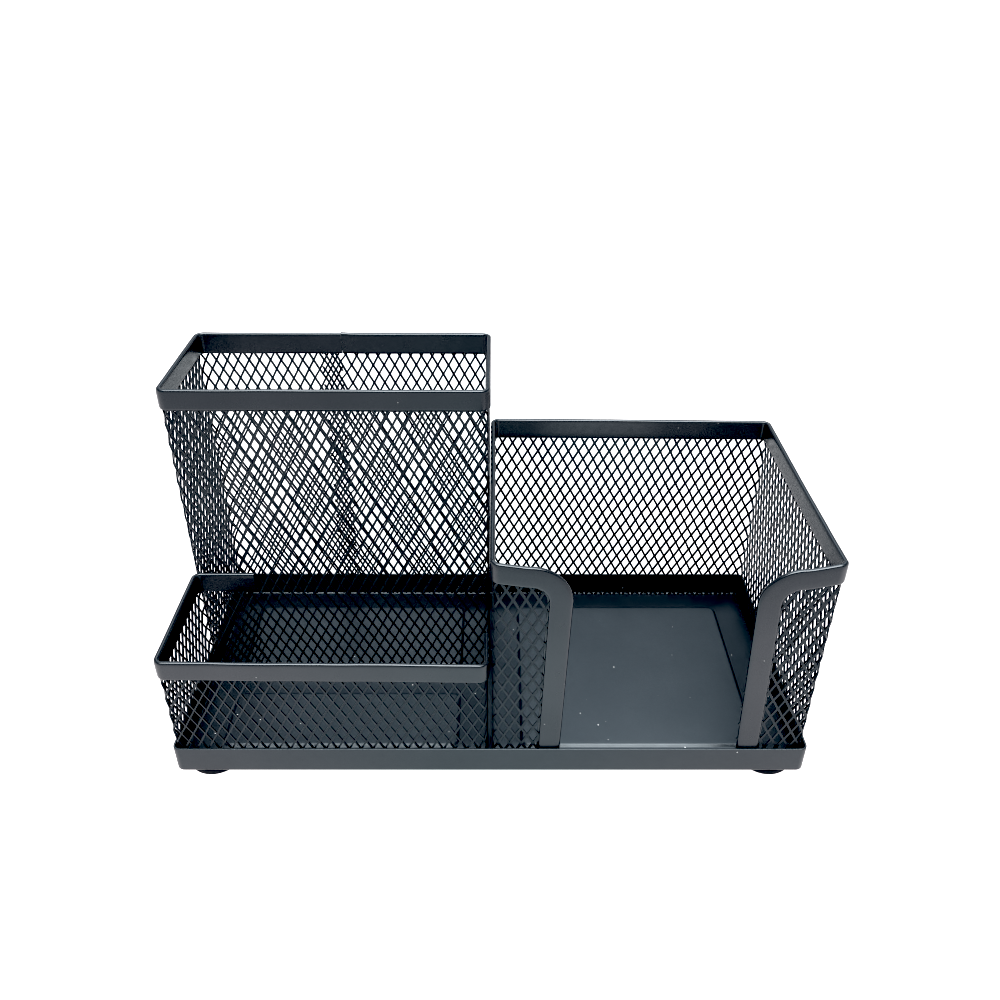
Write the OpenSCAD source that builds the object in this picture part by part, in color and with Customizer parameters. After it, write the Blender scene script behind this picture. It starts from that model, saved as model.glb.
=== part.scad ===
// Mesh desk organizer: a tall pen cup, a low open tray in front of it and a
// note holder with a finger opening, welded on one pressed sheet-steel base.
// +X is to the right, +Y to the back, +Z up. The origin is on the ground, in
// the middle of the footprint. Lengths in millimetres.
//
// The walls are expanded metal. They are drawn here as plain sheets of the
// strand's thickness with the true outline, bends and openings of each wall.

/* [Base] */
// Width of the base, left to right
base_w = 180; // [172:1:196]
// Depth of the base, front to back
base_d = 82.4; // [80:0.2:92]
// Height of the upright flange round the base
flange_h = 8.9; // [7:0.1:12]
// Thickness of the pressed sheet
sheet_t = 0.6; // [0.5:0.1:0.8]
// Outer radius of the base's upright corners
base_corner_r = 2.5; // [2:0.1:4]
// Outer radius of the bend between floor and flange
base_bend_r = 1.0; // [0.8:0.1:1.4]

/* [Floor panels] */
// Height of the raised floor panels above the floor
panel_rise = 1.2; // [0.8:0.1:2]
// Width of the sloping border round a panel
panel_slope = 0.9; // [0.6:0.1:1.4]
// Radius of a panel's corners
panel_corner_r = 2.4; // [1.5:0.1:4]
// Distance from the base's sides to the panels
panel_margin = 10.4; // [9:0.1:14]
// Distance from the base's front and back to the panels
panel_margin_y = 9.3; // [8:0.1:11]
// Distance from the line between the compartments to the panels
panel_inner = 9.4; // [6:0.1:14]

/* [Mesh walls] */
// Thickness of the mesh walls
mesh_t = 0.6; // [0.5:0.1:0.7]
// Outer radius of a mesh wall's upright bends
mesh_corner_r = 2.5; // [2:0.1:4]

/* [Trim] */
// Thickness of the rolled trim over the mesh
trim_t = 1.5; // [1.4:0.1:1.8]
// Height of the trim's band
trim_h = 6.0; // [5:0.1:8]
// Distance from the top of the bead to the groove below it
groove_z = 1.65; // [1.5:0.05:2]
// Width of that groove
groove_w = 0.4; // [0.3:0.1:0.6]

/* [Pen cup] */
// Height of the pen cup above the underside of the base
cup_top = 100.7; // [85:0.1:115]
// Depth of the pen cup outside its trim
cup_depth = 41.3; // [36:0.1:45]

/* [Front tray] */
// Height of the tray above the underside of the base
tray_top = 40.1; // [30:0.1:48]
// Length of the tray's short return along the pen cup
tray_rear_return = 18.5; // [12:0.5:30]
// Length of the tray's short return along the note holder
tray_side_return = 14; // [8:0.5:24]

/* [Note holder] */
// Height of the note holder above the underside of the base
note_top = 71.9; // [60:0.1:82]
// Width of the finger opening at the height where its corners begin
opening_w = 46.6; // [38:0.2:52]
// Outer radius of the opening's two upper corners
opening_r = 11; // [9:0.5:14]
// Lean of the opening's sides, in degrees
opening_lean = 1.8; // [0:0.1:3]

/* [Feet] */
// Diameter of a foot
foot_dia = 15.4; // [12:0.1:18]
// Height of a foot
foot_h = 2.4; // [1.5:0.1:4]
// Radius of a foot's lower edge
foot_edge_r = 0.8; // [0.4:0.1:1]
// Distance from the base's sides to a foot's centre
foot_inset_x = 9.2; // [9:0.1:14]
// Distance from the base's front and back to a foot's centre
foot_inset_y = 8.4; // [8.2:0.1:14]

/* [Hidden] */
$fn = 48;

// How far a trim stands out from the mesh on each side
trim_side = (trim_t - mesh_t) / 2;
bead_r = trim_t / 2;
// Radius of the trim's middle line round an upright bend
trim_rc = mesh_corner_r - mesh_t / 2;
// Line between the left compartments and the note holder
split_x = -0.2;

// Outer faces of the mesh walls, in the base's own plan: x from the middle,
// y from the front of the flange, z from the underside of the floor
left_x = -base_w / 2 + sheet_t;
cup_x1 = split_x - trim_side;
cup_y1 = base_d - sheet_t;
cup_y0 = cup_y1 + trim_side - cup_depth + trim_side;
tray_y0 = sheet_t + 0.3;
tray_y1 = cup_y0 - trim_side;
note_x0 = split_x + trim_side;
note_x1 = base_w / 2 - sheet_t - 0.5;
note_y0 = sheet_t + 0.6;
note_y1 = base_d - sheet_t - 1.2;
// Middles of the two rounded corners of the finger opening
note_cx = (note_x0 + note_x1) / 2;
arc_x = note_cx - opening_w / 2 - opening_r;
arc_z = note_top - opening_r;

// Puts the base's own plan on its feet, with the origin under its middle
module on_feet() { translate([0, -base_d / 2, foot_h]) children(); }

// Rounded rectangle from its corners
module plan(x0, x1, y0, y1, r) {
    translate([x0 + r, y0]) square([x1 - x0 - 2 * r, y1 - y0]);
    translate([x0, y0 + r]) square([x1 - x0, y1 - y0 - 2 * r]);
    for (x = [x0 + r, x1 - r], y = [y0 + r, y1 - r])
        translate([x, y]) circle(r);
}

// Upright tube with rounded corners, outer faces given
module sleeve(x0, x1, y0, y1, z0, z1) {
    translate([0, 0, z0]) linear_extrude(z1 - z0) difference() {
        plan(x0, x1, y0, y1, mesh_corner_r);
        plan(x0 + mesh_t, x1 - mesh_t, y0 + mesh_t, y1 - mesh_t,
             mesh_corner_r - mesh_t);
    }
}

// Section of the rolled trim: a full round bead, a groove under it on both
// faces, a flat band, and the slot that grips the mesh. Its top is at y = 0.
module trim_section() {
    difference() {
        union() {
            translate([-trim_t / 2, -trim_h])
                square([trim_t, trim_h - bead_r]);
            translate([0, -bead_r]) circle(bead_r);
        }
        for (s = [-1, 1])
            translate([s * trim_t / 2, -groove_z]) circle(d = groove_w);
        translate([-mesh_t / 2, -trim_h - 1])
            square([mesh_t, trim_h - bead_r + 1]);
    }
}

// Straight length of trim along x
module trim_x(x0, x1, y, z) {
    translate([x0, y, z]) rotate([90, 0, 90])
        linear_extrude(x1 - x0) trim_section();
}

// Straight length of trim along y
module trim_y(x, y0, y1, z) {
    translate([x, y1, z]) rotate([90, 0, 0])
        linear_extrude(y1 - y0) trim_section();
}

// Trim round an upright bend, starting at angle a
module trim_bend(x, y, z, a) {
    translate([x, y, z]) rotate([0, 0, a])
        rotate_extrude(angle = 90) translate([trim_rc, 0]) trim_section();
}

// Edge of the pan: upright face with the rounded bend at its foot
module pan_edge() {
    translate([0, base_bend_r])
        square([base_corner_r, flange_h - base_bend_r]);
    square([base_corner_r - base_bend_r, flange_h]);
    translate([base_corner_r - base_bend_r, base_bend_r])
        circle(base_bend_r);
}

// Outside of the pan, solid
module pan_block() {
    r = base_corner_r;
    x = base_w / 2 - r;
    translate([-x, r, 0]) cube([2 * x, base_d - 2 * r, flange_h]);
    for (s = [0, 1]) translate([0, s * base_d, 0]) mirror([0, s, 0])
        translate([x, r, 0]) rotate([90, 0, -90])
            linear_extrude(2 * x) pan_edge();
    for (s = [0, 1]) mirror([s, 0, 0])
        translate([x, base_d - r, 0]) rotate([90, 0, 0])
            linear_extrude(base_d - 2 * r) pan_edge();
    for (sx = [0, 1], sy = [0, 1]) mirror([sx, 0, 0])
        translate([0, sy * base_d, 0]) mirror([0, sy, 0])
            translate([x, r, 0]) rotate([0, 0, -90])
                rotate_extrude(angle = 90) pan_edge();
}

// One raised panel: a flat top and sloping borders, from z0 up to z1. The
// corners given are those of the flat top.
module panel(x0, x1, y0, y1, z0, z1) {
    s = panel_slope * (z1 - z0) / panel_rise;
    intersection() {
        translate([0, y1 + s, 0]) rotate([90, 0, 0])
            linear_extrude(y1 - y0 + 2 * s)
                polygon([[x0 - s, z0], [x1 + s, z0], [x1, z1], [x0, z1]]);
        translate([x0 - s, 0, 0]) rotate([90, 0, 90])
            linear_extrude(x1 - x0 + 2 * s)
                polygon([[y0 - s, z0], [y1 + s, z0], [y1, z1], [y0, z1]]);
        translate([0, 0, z0]) linear_extrude(z1 - z0)
            plan(x0 - s, x1 + s, y0 - s, y1 + s, panel_corner_r);
    }
}

// The three panels, their tops drawn in by g
module panels(g, z0, z1) {
    px = base_w / 2 - panel_margin;
    py0 = panel_margin_y;
    py1 = base_d - panel_margin_y - 1.7;
    mid = cup_y0 - 0.5;
    // under the note holder
    panel(split_x + panel_inner + g, px + 0.4 - g, py0 + g, py1 - g, z0, z1);
    // under the front tray
    panel(-px + 0.4 + g, split_x - panel_inner - g, py0 + g,
          mid - 10.6 - g, z0, z1);
    // under the pen cup
    panel(-px + g, split_x - panel_inner - g, mid + 9.6 + g, py1 - g, z0, z1);
}

module base_pan() {
    color([0.09, 0.10, 0.11]) on_feet() difference() {
        union() {
            difference() {
                pan_block();
                translate([0, 0, sheet_t]) linear_extrude(flange_h)
                    plan(-base_w / 2 + sheet_t, base_w / 2 - sheet_t,
                         sheet_t, base_d - sheet_t, base_corner_r - sheet_t);
            }
            panels(0, sheet_t, sheet_t + panel_rise);
        }
        panels(0.4, -0.3, panel_rise);
    }
}

module pen_cup_mesh() {
    color([0.06, 0.065, 0.07]) on_feet()
        sleeve(left_x, cup_x1, cup_y0, cup_y1, sheet_t, cup_top - bead_r);
}

module pen_cup_rim() {
    h = mesh_t / 2;
    r = mesh_corner_r;
    color([0.10, 0.105, 0.11]) on_feet() {
        for (y = [cup_y0 + h, cup_y1 - h])
            trim_x(left_x + r, cup_x1 - r, y, cup_top);
        for (x = [left_x + h, cup_x1 - h])
            trim_y(x, cup_y0 + r, cup_y1 - r, cup_top);
        trim_bend(cup_x1 - r, cup_y1 - r, cup_top, 0);
        trim_bend(left_x + r, cup_y1 - r, cup_top, 90);
        trim_bend(left_x + r, cup_y0 + r, cup_top, 180);
        trim_bend(cup_x1 - r, cup_y0 + r, cup_top, 270);
    }
}

module front_tray_mesh() {
    big = base_w;
    color([0.06, 0.065, 0.07]) on_feet() difference() {
        sleeve(left_x, cup_x1, tray_y0, tray_y1, sheet_t,
               tray_top - bead_r);
        // open between the ends of the two short returns
        translate([left_x + tray_rear_return, tray_y1 - 5, 0])
            cube([big, 10, big]);
        translate([cup_x1 - 5, tray_y0 + tray_side_return, 0])
            cube([10, big, big]);
    }
}

module front_tray_rim() {
    h = mesh_t / 2;
    r = mesh_corner_r;
    color([0.13, 0.135, 0.145]) on_feet() {
        trim_x(left_x + r, left_x + tray_rear_return, tray_y1 - h, tray_top);
        trim_bend(left_x + r, tray_y1 - r, tray_top, 90);
        trim_y(left_x + h, tray_y0 + r, tray_y1 - r, tray_top);
        trim_bend(left_x + r, tray_y0 + r, tray_top, 180);
        trim_x(left_x + r, cup_x1 - r, tray_y0 + h, tray_top);
        trim_bend(cup_x1 - r, tray_y0 + r, tray_top, 270);
        trim_y(cup_x1 - h, tray_y0 + r, tray_y0 + tray_side_return, tray_top);
    }
}

// Mirrors its children to both sides of the finger opening
module both_cheeks() {
    for (s = [0, 1])
        translate([note_cx, 0, 0]) mirror([s, 0, 0])
            translate([-note_cx, 0, 0]) children();
}

// Front view of the left cheek from x on and from z up, drawn in by d from
// its free edge
module cheek(x, z, d) {
    r = opening_r - d;
    intersection() {
        union() {
            // a hair larger, so that it crosses the straight sides cleanly
            translate([arc_x, arc_z]) circle(r + 0.02);
            translate([arc_x, arc_z]) rotate(-opening_lean)
                translate([-2 * opening_w, -2 * note_top])
                    square([2 * opening_w + r, 2 * note_top]);
            translate([x, arc_z - 2]) square([arc_x - x, r + 2]);
        }
        translate([x, z]) square([opening_w, note_top - d - z]);
    }
}

module note_holder_mesh() {
    color([0.06, 0.065, 0.07]) on_feet() intersection() {
        sleeve(note_x0, note_x1, note_y0, note_y1, sheet_t,
               note_top - bead_r);
        union() {
            translate([note_x0 - 1, note_y0 + mesh_corner_r, 0])
                cube([base_w, base_d, note_top]);
            both_cheeks()
                translate([0, note_y0 + mesh_corner_r, 0])
                    rotate([90, 0, 0])
                        linear_extrude(mesh_corner_r + 1)
                            cheek(note_x0, sheet_t, bead_r);
        }
    }
}

// Part of the left cheek's trim that lies between d0 and d1 from its free
// edge, t thick, with its front face at y
module cheek_band(x, y, z, t, d0, d1) {
    translate([0, y + t, 0]) rotate([90, 0, 0]) linear_extrude(t)
        difference() {
            cheek(x, z, d0);
            cheek(x - 1, z - 1, d1);
        }
}

// Trim of the left cheek: along the top, round the corner of the finger
// opening and down its side to the floor of the base
module cheek_trim() {
    x = note_x0 + mesh_corner_r;
    y = note_y0 - trim_side;
    // the cheek's groove is a little finer than the groove of the round bends
    g = 0.3 * groove_w;
    difference() {
        cheek_band(x, y, sheet_t, trim_t, 0.1, trim_h);
        cheek_band(x - 1, note_y0, 0, mesh_t, bead_r, trim_h + 1);
        for (f = [y - 1 + g, y + trim_t - g])
            cheek_band(x - 1, f, 0, 1, groove_z - g, groove_z + g);
    }
}

module note_holder_rim() {
    h = mesh_t / 2;
    r = mesh_corner_r;
    color([0.10, 0.105, 0.11]) on_feet() {
        trim_x(note_x0 + r, note_x1 - r, note_y1 - h, note_top);
        for (x = [note_x0 + h, note_x1 - h])
            trim_y(x, note_y0 + r, note_y1 - r, note_top);
        trim_bend(note_x1 - r, note_y1 - r, note_top, 0);
        trim_bend(note_x0 + r, note_y1 - r, note_top, 90);
        trim_bend(note_x0 + r, note_y0 + r, note_top, 180);
        trim_bend(note_x1 - r, note_y0 + r, note_top, 270);
        both_cheeks() cheek_trim();
    }
}

// A round rubber foot with a rounded lower edge
module foot(sx, sy) {
    color([0.05, 0.05, 0.05])
        translate([sx * (base_w / 2 - foot_inset_x),
                   sy * (base_d / 2 - foot_inset_y), 0])
            rotate_extrude() {
                square([foot_dia / 2 - foot_edge_r, foot_h]);
                translate([0, foot_edge_r])
                    square([foot_dia / 2, foot_h - foot_edge_r]);
                intersection() {
                    translate([foot_dia / 2 - foot_edge_r, foot_edge_r])
                        circle(foot_edge_r);
                    square([foot_dia, foot_h]);
                }
            }
}

module foot_front_left() { foot(-1, -1); }
module foot_front_right() { foot(1, -1); }
module foot_rear_left() { foot(-1, 1); }
module foot_rear_right() { foot(1, 1); }

base_pan();
pen_cup_mesh();
pen_cup_rim();
front_tray_mesh();
front_tray_rim();
note_holder_mesh();
note_holder_rim();
foot_front_left();
foot_front_right();
foot_rear_left();
foot_rear_right();
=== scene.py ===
"""Mesh desk organizer: the visible model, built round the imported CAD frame.

Dimensions are worked out in millimetres in the "drawing" frame of the photograph's camera
(X to the right, Y away, Z up, Y = 0 at the front face of the base, Z = 0 under the base sheet) and
placed in the row frame by place(). Everything is made in mesh code: expanded-metal strands for the
three mesh baskets, rolled trims swept round them, the pressed base sheet and the rubber feet.
"""

import math

import bmesh
import bpy
import numpy as np
from mathutils import Matrix, Vector


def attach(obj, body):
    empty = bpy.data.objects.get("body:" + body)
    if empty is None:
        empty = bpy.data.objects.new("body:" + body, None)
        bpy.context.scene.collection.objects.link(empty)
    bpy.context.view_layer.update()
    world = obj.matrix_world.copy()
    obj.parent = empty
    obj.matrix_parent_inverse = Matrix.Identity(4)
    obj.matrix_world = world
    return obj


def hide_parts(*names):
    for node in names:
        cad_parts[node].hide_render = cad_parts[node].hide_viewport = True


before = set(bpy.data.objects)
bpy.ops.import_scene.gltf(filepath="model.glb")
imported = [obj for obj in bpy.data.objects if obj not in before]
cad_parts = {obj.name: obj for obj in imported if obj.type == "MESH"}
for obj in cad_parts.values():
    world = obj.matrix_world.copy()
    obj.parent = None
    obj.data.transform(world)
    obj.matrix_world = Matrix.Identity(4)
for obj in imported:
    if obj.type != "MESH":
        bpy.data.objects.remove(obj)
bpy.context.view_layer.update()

RNG = np.random.default_rng(20417)

# ------------------------------------------------------------------ drawing frame
Y_OFF = 41.2
Z_OFF = 2.4


def place(co):
    """Drawing millimetres to metres in the row frame."""
    co = np.asarray(co, float)
    out = np.empty_like(co)
    out[..., 0] = co[..., 0] / 1000.0
    out[..., 1] = (co[..., 1] - Y_OFF) / 1000.0
    out[..., 2] = (co[..., 2] + Z_OFF) / 1000.0
    return out


def new_object(name, verts, faces, material, smooth=None):
    """A mesh object from drawing-frame vertices. smooth is the sharp-edge angle in degrees, or None for flat."""
    me = bpy.data.meshes.new(name)
    me.from_pydata(place(verts).tolist(), [], [tuple(map(int, f)) for f in faces])
    me.update()
    ob = bpy.data.objects.new(name, me)
    bpy.context.scene.collection.objects.link(ob)
    me.materials.append(material)
    if smooth is not None:
        me.polygons.foreach_set("use_smooth", [True] * len(me.polygons))
        me.set_sharp_from_angle(angle=math.radians(smooth))
    return ob


def recalc(ob):
    bm = bmesh.new()
    bm.from_mesh(ob.data)
    bmesh.ops.recalc_face_normals(bm, faces=bm.faces)
    bm.to_mesh(ob.data)
    bm.free()
    ob.data.update()


# ------------------------------------------------------------------ materials
def nodes_of(mat):
    mat.use_nodes = True
    nt = mat.node_tree
    nt.nodes.clear()
    return nt


def noise(nt, coord, scale, detail=2.0, rough=0.5, lac=2.0):
    n = nt.nodes.new("ShaderNodeTexNoise")
    n.inputs["Scale"].default_value = scale
    n.inputs["Detail"].default_value = detail
    n.inputs["Roughness"].default_value = rough
    n.inputs["Lacunarity"].default_value = lac
    nt.links.new(coord, n.inputs["Vector"])
    return n


def ramp(nt, fac, stops):
    r = nt.nodes.new("ShaderNodeValToRGB")
    el = r.color_ramp.elements
    el[0].position, el[0].color = stops[0][0], stops[0][1]
    el[1].position, el[1].color = stops[-1][0], stops[-1][1]
    for pos, col in stops[1:-1]:
        e = el.new(pos)
        e.color = col
    nt.links.new(fac, r.inputs["Fac"])
    return r


def maprange(nt, value, a, b, c, d):
    m = nt.nodes.new("ShaderNodeMapRange")
    m.inputs["From Min"].default_value = a
    m.inputs["From Max"].default_value = b
    m.inputs["To Min"].default_value = c
    m.inputs["To Max"].default_value = d
    nt.links.new(value, m.inputs["Value"])
    return m.outputs["Result"]


def grey(v, tint=(1.0, 1.0, 1.0)):
    return (v * tint[0], v * tint[1], v * tint[2], 1.0)


def powder_coat(name, base, tint, rough_lo, rough_hi, peel, grain, dust=0.0, wear=0.0, peel_scale=900.0, spec=1.0, sheen=(1.0, 1.0, 1.0)):
    """Black powder coat: slow colour drift, fine speckle, orange peel and a fine grain in the bump."""
    mat = bpy.data.materials.new(name)
    nt = nodes_of(mat)
    out = nt.nodes.new("ShaderNodeOutputMaterial")
    bsdf = nt.nodes.new("ShaderNodeBsdfPrincipled")
    nt.links.new(bsdf.outputs["BSDF"], out.inputs["Surface"])
    tc = nt.nodes.new("ShaderNodeTexCoord")
    co = tc.outputs["Object"]
    # colour: slow drift over centimetres and a fine speckle of the powder
    drift = noise(nt, co, 60.0, 3.0, 0.55)
    speck = noise(nt, co, 3200.0, 2.0, 0.6)
    c1 = ramp(nt, drift.outputs["Fac"], [(0.30, grey(base * 0.80, tint)), (0.70, grey(base * 1.25, tint))])
    c2 = ramp(nt, speck.outputs["Fac"], [(0.35, grey(0.78)), (0.50, grey(1.0)), (0.72, grey(1.35))])
    mul = nt.nodes.new("ShaderNodeMix")
    mul.data_type = "RGBA"
    mul.blend_type = "MULTIPLY"
    mul.inputs[0].default_value = 1.0
    nt.links.new(c1.outputs["Color"], mul.inputs[6])
    nt.links.new(c2.outputs["Color"], mul.inputs[7])
    colour = mul.outputs[2]
    if wear > 0.0:
        geo = nt.nodes.new("ShaderNodeNewGeometry")
        edge = maprange(nt, geo.outputs["Pointiness"], 0.56, 0.66, 0.0, wear)
        patch = noise(nt, co, 220.0, 3.0, 0.6)
        keep = maprange(nt, patch.outputs["Fac"], 0.48, 0.62, 0.0, 1.0)
        m = nt.nodes.new("ShaderNodeMath")
        m.operation = "MULTIPLY"
        nt.links.new(edge, m.inputs[0])
        nt.links.new(keep, m.inputs[1])
        mix = nt.nodes.new("ShaderNodeMix")
        mix.data_type = "RGBA"
        nt.links.new(m.outputs[0], mix.inputs[0])
        nt.links.new(colour, mix.inputs[6])
        mix.inputs[7].default_value = grey(base * 3.2, tint)
        colour = mix.outputs[2]
    if dust > 0.0:
        vor = nt.nodes.new("ShaderNodeTexVoronoi")
        vor.inputs["Scale"].default_value = 400.0
        vor.inputs["Randomness"].default_value = 1.0
        nt.links.new(co, vor.inputs["Vector"])
        dot = maprange(nt, vor.outputs["Distance"], 0.105, 0.060, 0.0, 1.0)
        pick = nt.nodes.new("ShaderNodeSeparateColor")
        nt.links.new(vor.outputs["Color"], pick.inputs["Color"])
        keep = maprange(nt, pick.outputs[0], 0.945, 0.955, 0.0, dust)
        m = nt.nodes.new("ShaderNodeMath")
        m.operation = "MULTIPLY"
        nt.links.new(dot, m.inputs[0])
        nt.links.new(keep, m.inputs[1])
        mix = nt.nodes.new("ShaderNodeMix")
        mix.data_type = "RGBA"
        nt.links.new(m.outputs[0], mix.inputs[0])
        nt.links.new(colour, mix.inputs[6])
        mix.inputs[7].default_value = (0.50, 0.50, 0.49, 1.0)
        colour = mix.outputs[2]
    nt.links.new(colour, bsdf.inputs["Base Color"])
    # roughness
    rn = noise(nt, co, 420.0, 3.0, 0.6)
    nt.links.new(maprange(nt, rn.outputs["Fac"], 0.3, 0.7, rough_lo, rough_hi), bsdf.inputs["Roughness"])
    bsdf.inputs["IOR"].default_value = 1.5
    bsdf.inputs["Specular IOR Level"].default_value = spec
    bsdf.inputs["Specular Tint"].default_value = (sheen[0], sheen[1], sheen[2], 1.0)
    # bump: orange peel, then grain
    on = noise(nt, co, peel_scale, 2.0, 0.5)
    gn = noise(nt, co, 4200.0, 2.0, 0.6)
    b1 = nt.nodes.new("ShaderNodeBump")
    b1.inputs["Strength"].default_value = 1.0
    b1.inputs["Distance"].default_value = peel
    nt.links.new(on.outputs["Fac"], b1.inputs["Height"])
    b2 = nt.nodes.new("ShaderNodeBump")
    b2.inputs["Strength"].default_value = 1.0
    b2.inputs["Distance"].default_value = grain
    nt.links.new(gn.outputs["Fac"], b2.inputs["Height"])
    nt.links.new(b1.outputs["Normal"], b2.inputs["Normal"])
    nt.links.new(b2.outputs["Normal"], bsdf.inputs["Normal"])
    return mat


def rubber(name):
    mat = bpy.data.materials.new(name)
    nt = nodes_of(mat)
    out = nt.nodes.new("ShaderNodeOutputMaterial")
    bsdf = nt.nodes.new("ShaderNodeBsdfPrincipled")
    nt.links.new(bsdf.outputs["BSDF"], out.inputs["Surface"])
    co = nt.nodes.new("ShaderNodeTexCoord").outputs["Object"]
    n1 = noise(nt, co, 350.0, 4.0, 0.6)
    c = ramp(nt, n1.outputs["Fac"], [(0.30, (0.003, 0.003, 0.0033, 1)), (0.62, (0.007, 0.007, 0.0075, 1)), (0.78, (0.020, 0.020, 0.0195, 1))])
    nt.links.new(c.outputs["Color"], bsdf.inputs["Base Color"])
    n2 = noise(nt, co, 1300.0, 3.0, 0.6)
    nt.links.new(maprange(nt, n2.outputs["Fac"], 0.3, 0.7, 0.62, 0.86), bsdf.inputs["Roughness"])
    b = nt.nodes.new("ShaderNodeBump")
    b.inputs["Strength"].default_value = 1.0
    b.inputs["Distance"].default_value = 0.00006
    nt.links.new(n2.outputs["Fac"], b.inputs["Height"])
    nt.links.new(b.outputs["Normal"], bsdf.inputs["Normal"])
    bsdf.inputs["IOR"].default_value = 1.5
    bsdf.inputs["Specular IOR Level"].default_value = 0.18
    return mat


MAT_SHEET = powder_coat("powder_coat_sheet", 0.008, (0.90, 1.0, 1.10), 0.36, 0.43, 0.000003, 0.0000008, dust=0.9, wear=0.0, peel_scale=500.0, spec=0.55, sheen=(0.90, 0.995, 1.04))
MAT_TRIM = powder_coat("powder_coat_trim", 0.009, (0.95, 1.0, 1.08), 0.22, 0.28, 0.000003, 0.0000008, wear=0.0, dust=0.25, peel_scale=500.0, spec=0.5, sheen=(0.93, 1.0, 1.04))
MAT_MESH = powder_coat("powder_coat_mesh", 0.006, (0.97, 1.0, 1.05), 0.34, 0.48, 0.000010, 0.000004, spec=0.36, sheen=(0.86, 1.0, 1.06))
MAT_FOOT = rubber("black_rubber")


# ------------------------------------------------------------------ plan paths
class Plan:
    """A plan-view line with rounded corners: position and outward normal at any arc length.

    pts run counter-clockwise seen from above, so that the outside is on the right of travel."""

    def __init__(self, pts, radius, closed=False, fine=12):
        P = [np.array(p, float) for p in pts]
        n = len(P)
        xy, nn = [], []

        def normal(d):
            return np.array([d[1], -d[0]])

        for i, p in enumerate(P):
            if not closed and i in (0, n - 1):
                d = (P[1] - P[0]) if i == 0 else (P[-1] - P[-2])
                d = d / np.linalg.norm(d)
                xy.append(p)
                nn.append(normal(d))
                continue
            a, b = P[(i - 1) % n], P[(i + 1) % n]
            d0 = (p - a) / np.linalg.norm(p - a)
            d1 = (b - p) / np.linalg.norm(b - p)
            turn = math.atan2(d0[0] * d1[1] - d0[1] * d1[0], float(d0 @ d1))
            t = radius * math.tan(abs(turn) / 2)
            start = p - d0 * t
            centre = start - normal(d0) * radius * (1 if turn > 0 else -1)
            for k in range(fine + 1):
                ang = turn * k / fine
                c, s = math.cos(ang), math.sin(ang)
                nv = normal(d0)
                nv = np.array([c * nv[0] - s * nv[1], s * nv[0] + c * nv[1]])
                xy.append(centre + nv * radius * (1 if turn > 0 else -1))
                nn.append(nv)
        if closed:
            xy.append(xy[0])
            nn.append(nn[0])
        self.xy = np.array(xy)
        self.nn = np.array(nn)
        seg = np.linalg.norm(np.diff(self.xy, axis=0), axis=1)
        self.s = np.concatenate([[0], np.cumsum(seg)])
        keep = np.concatenate([[True], seg > 1e-9])
        self.xy, self.nn, self.s = self.xy[keep], self.nn[keep], self.s[keep]
        self.length = float(self.s[-1])
        self.closed = closed

    def at(self, s):
        s = np.asarray(s, float)
        if self.closed:
            s = np.mod(s, self.length)
        x = np.interp(s, self.s, self.xy[:, 0])
        y = np.interp(s, self.s, self.xy[:, 1])
        a = np.interp(s, self.s, self.nn[:, 0])
        b = np.interp(s, self.s, self.nn[:, 1])
        # beyond an open end the line runs on straight
        if not self.closed:
            for end, sgn in ((0, -1), (-1, 1)):
                over = (s - self.s[end]) * sgn
                m = over > 0
                d = np.array([-self.nn[end][1], self.nn[end][0]]) * sgn
                x = np.where(m, self.xy[end, 0] + d[0] * over, x)
                y = np.where(m, self.xy[end, 1] + d[1] * over, y)
        ln = np.hypot(a, b)
        return x, y, a / ln, b / ln


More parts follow.
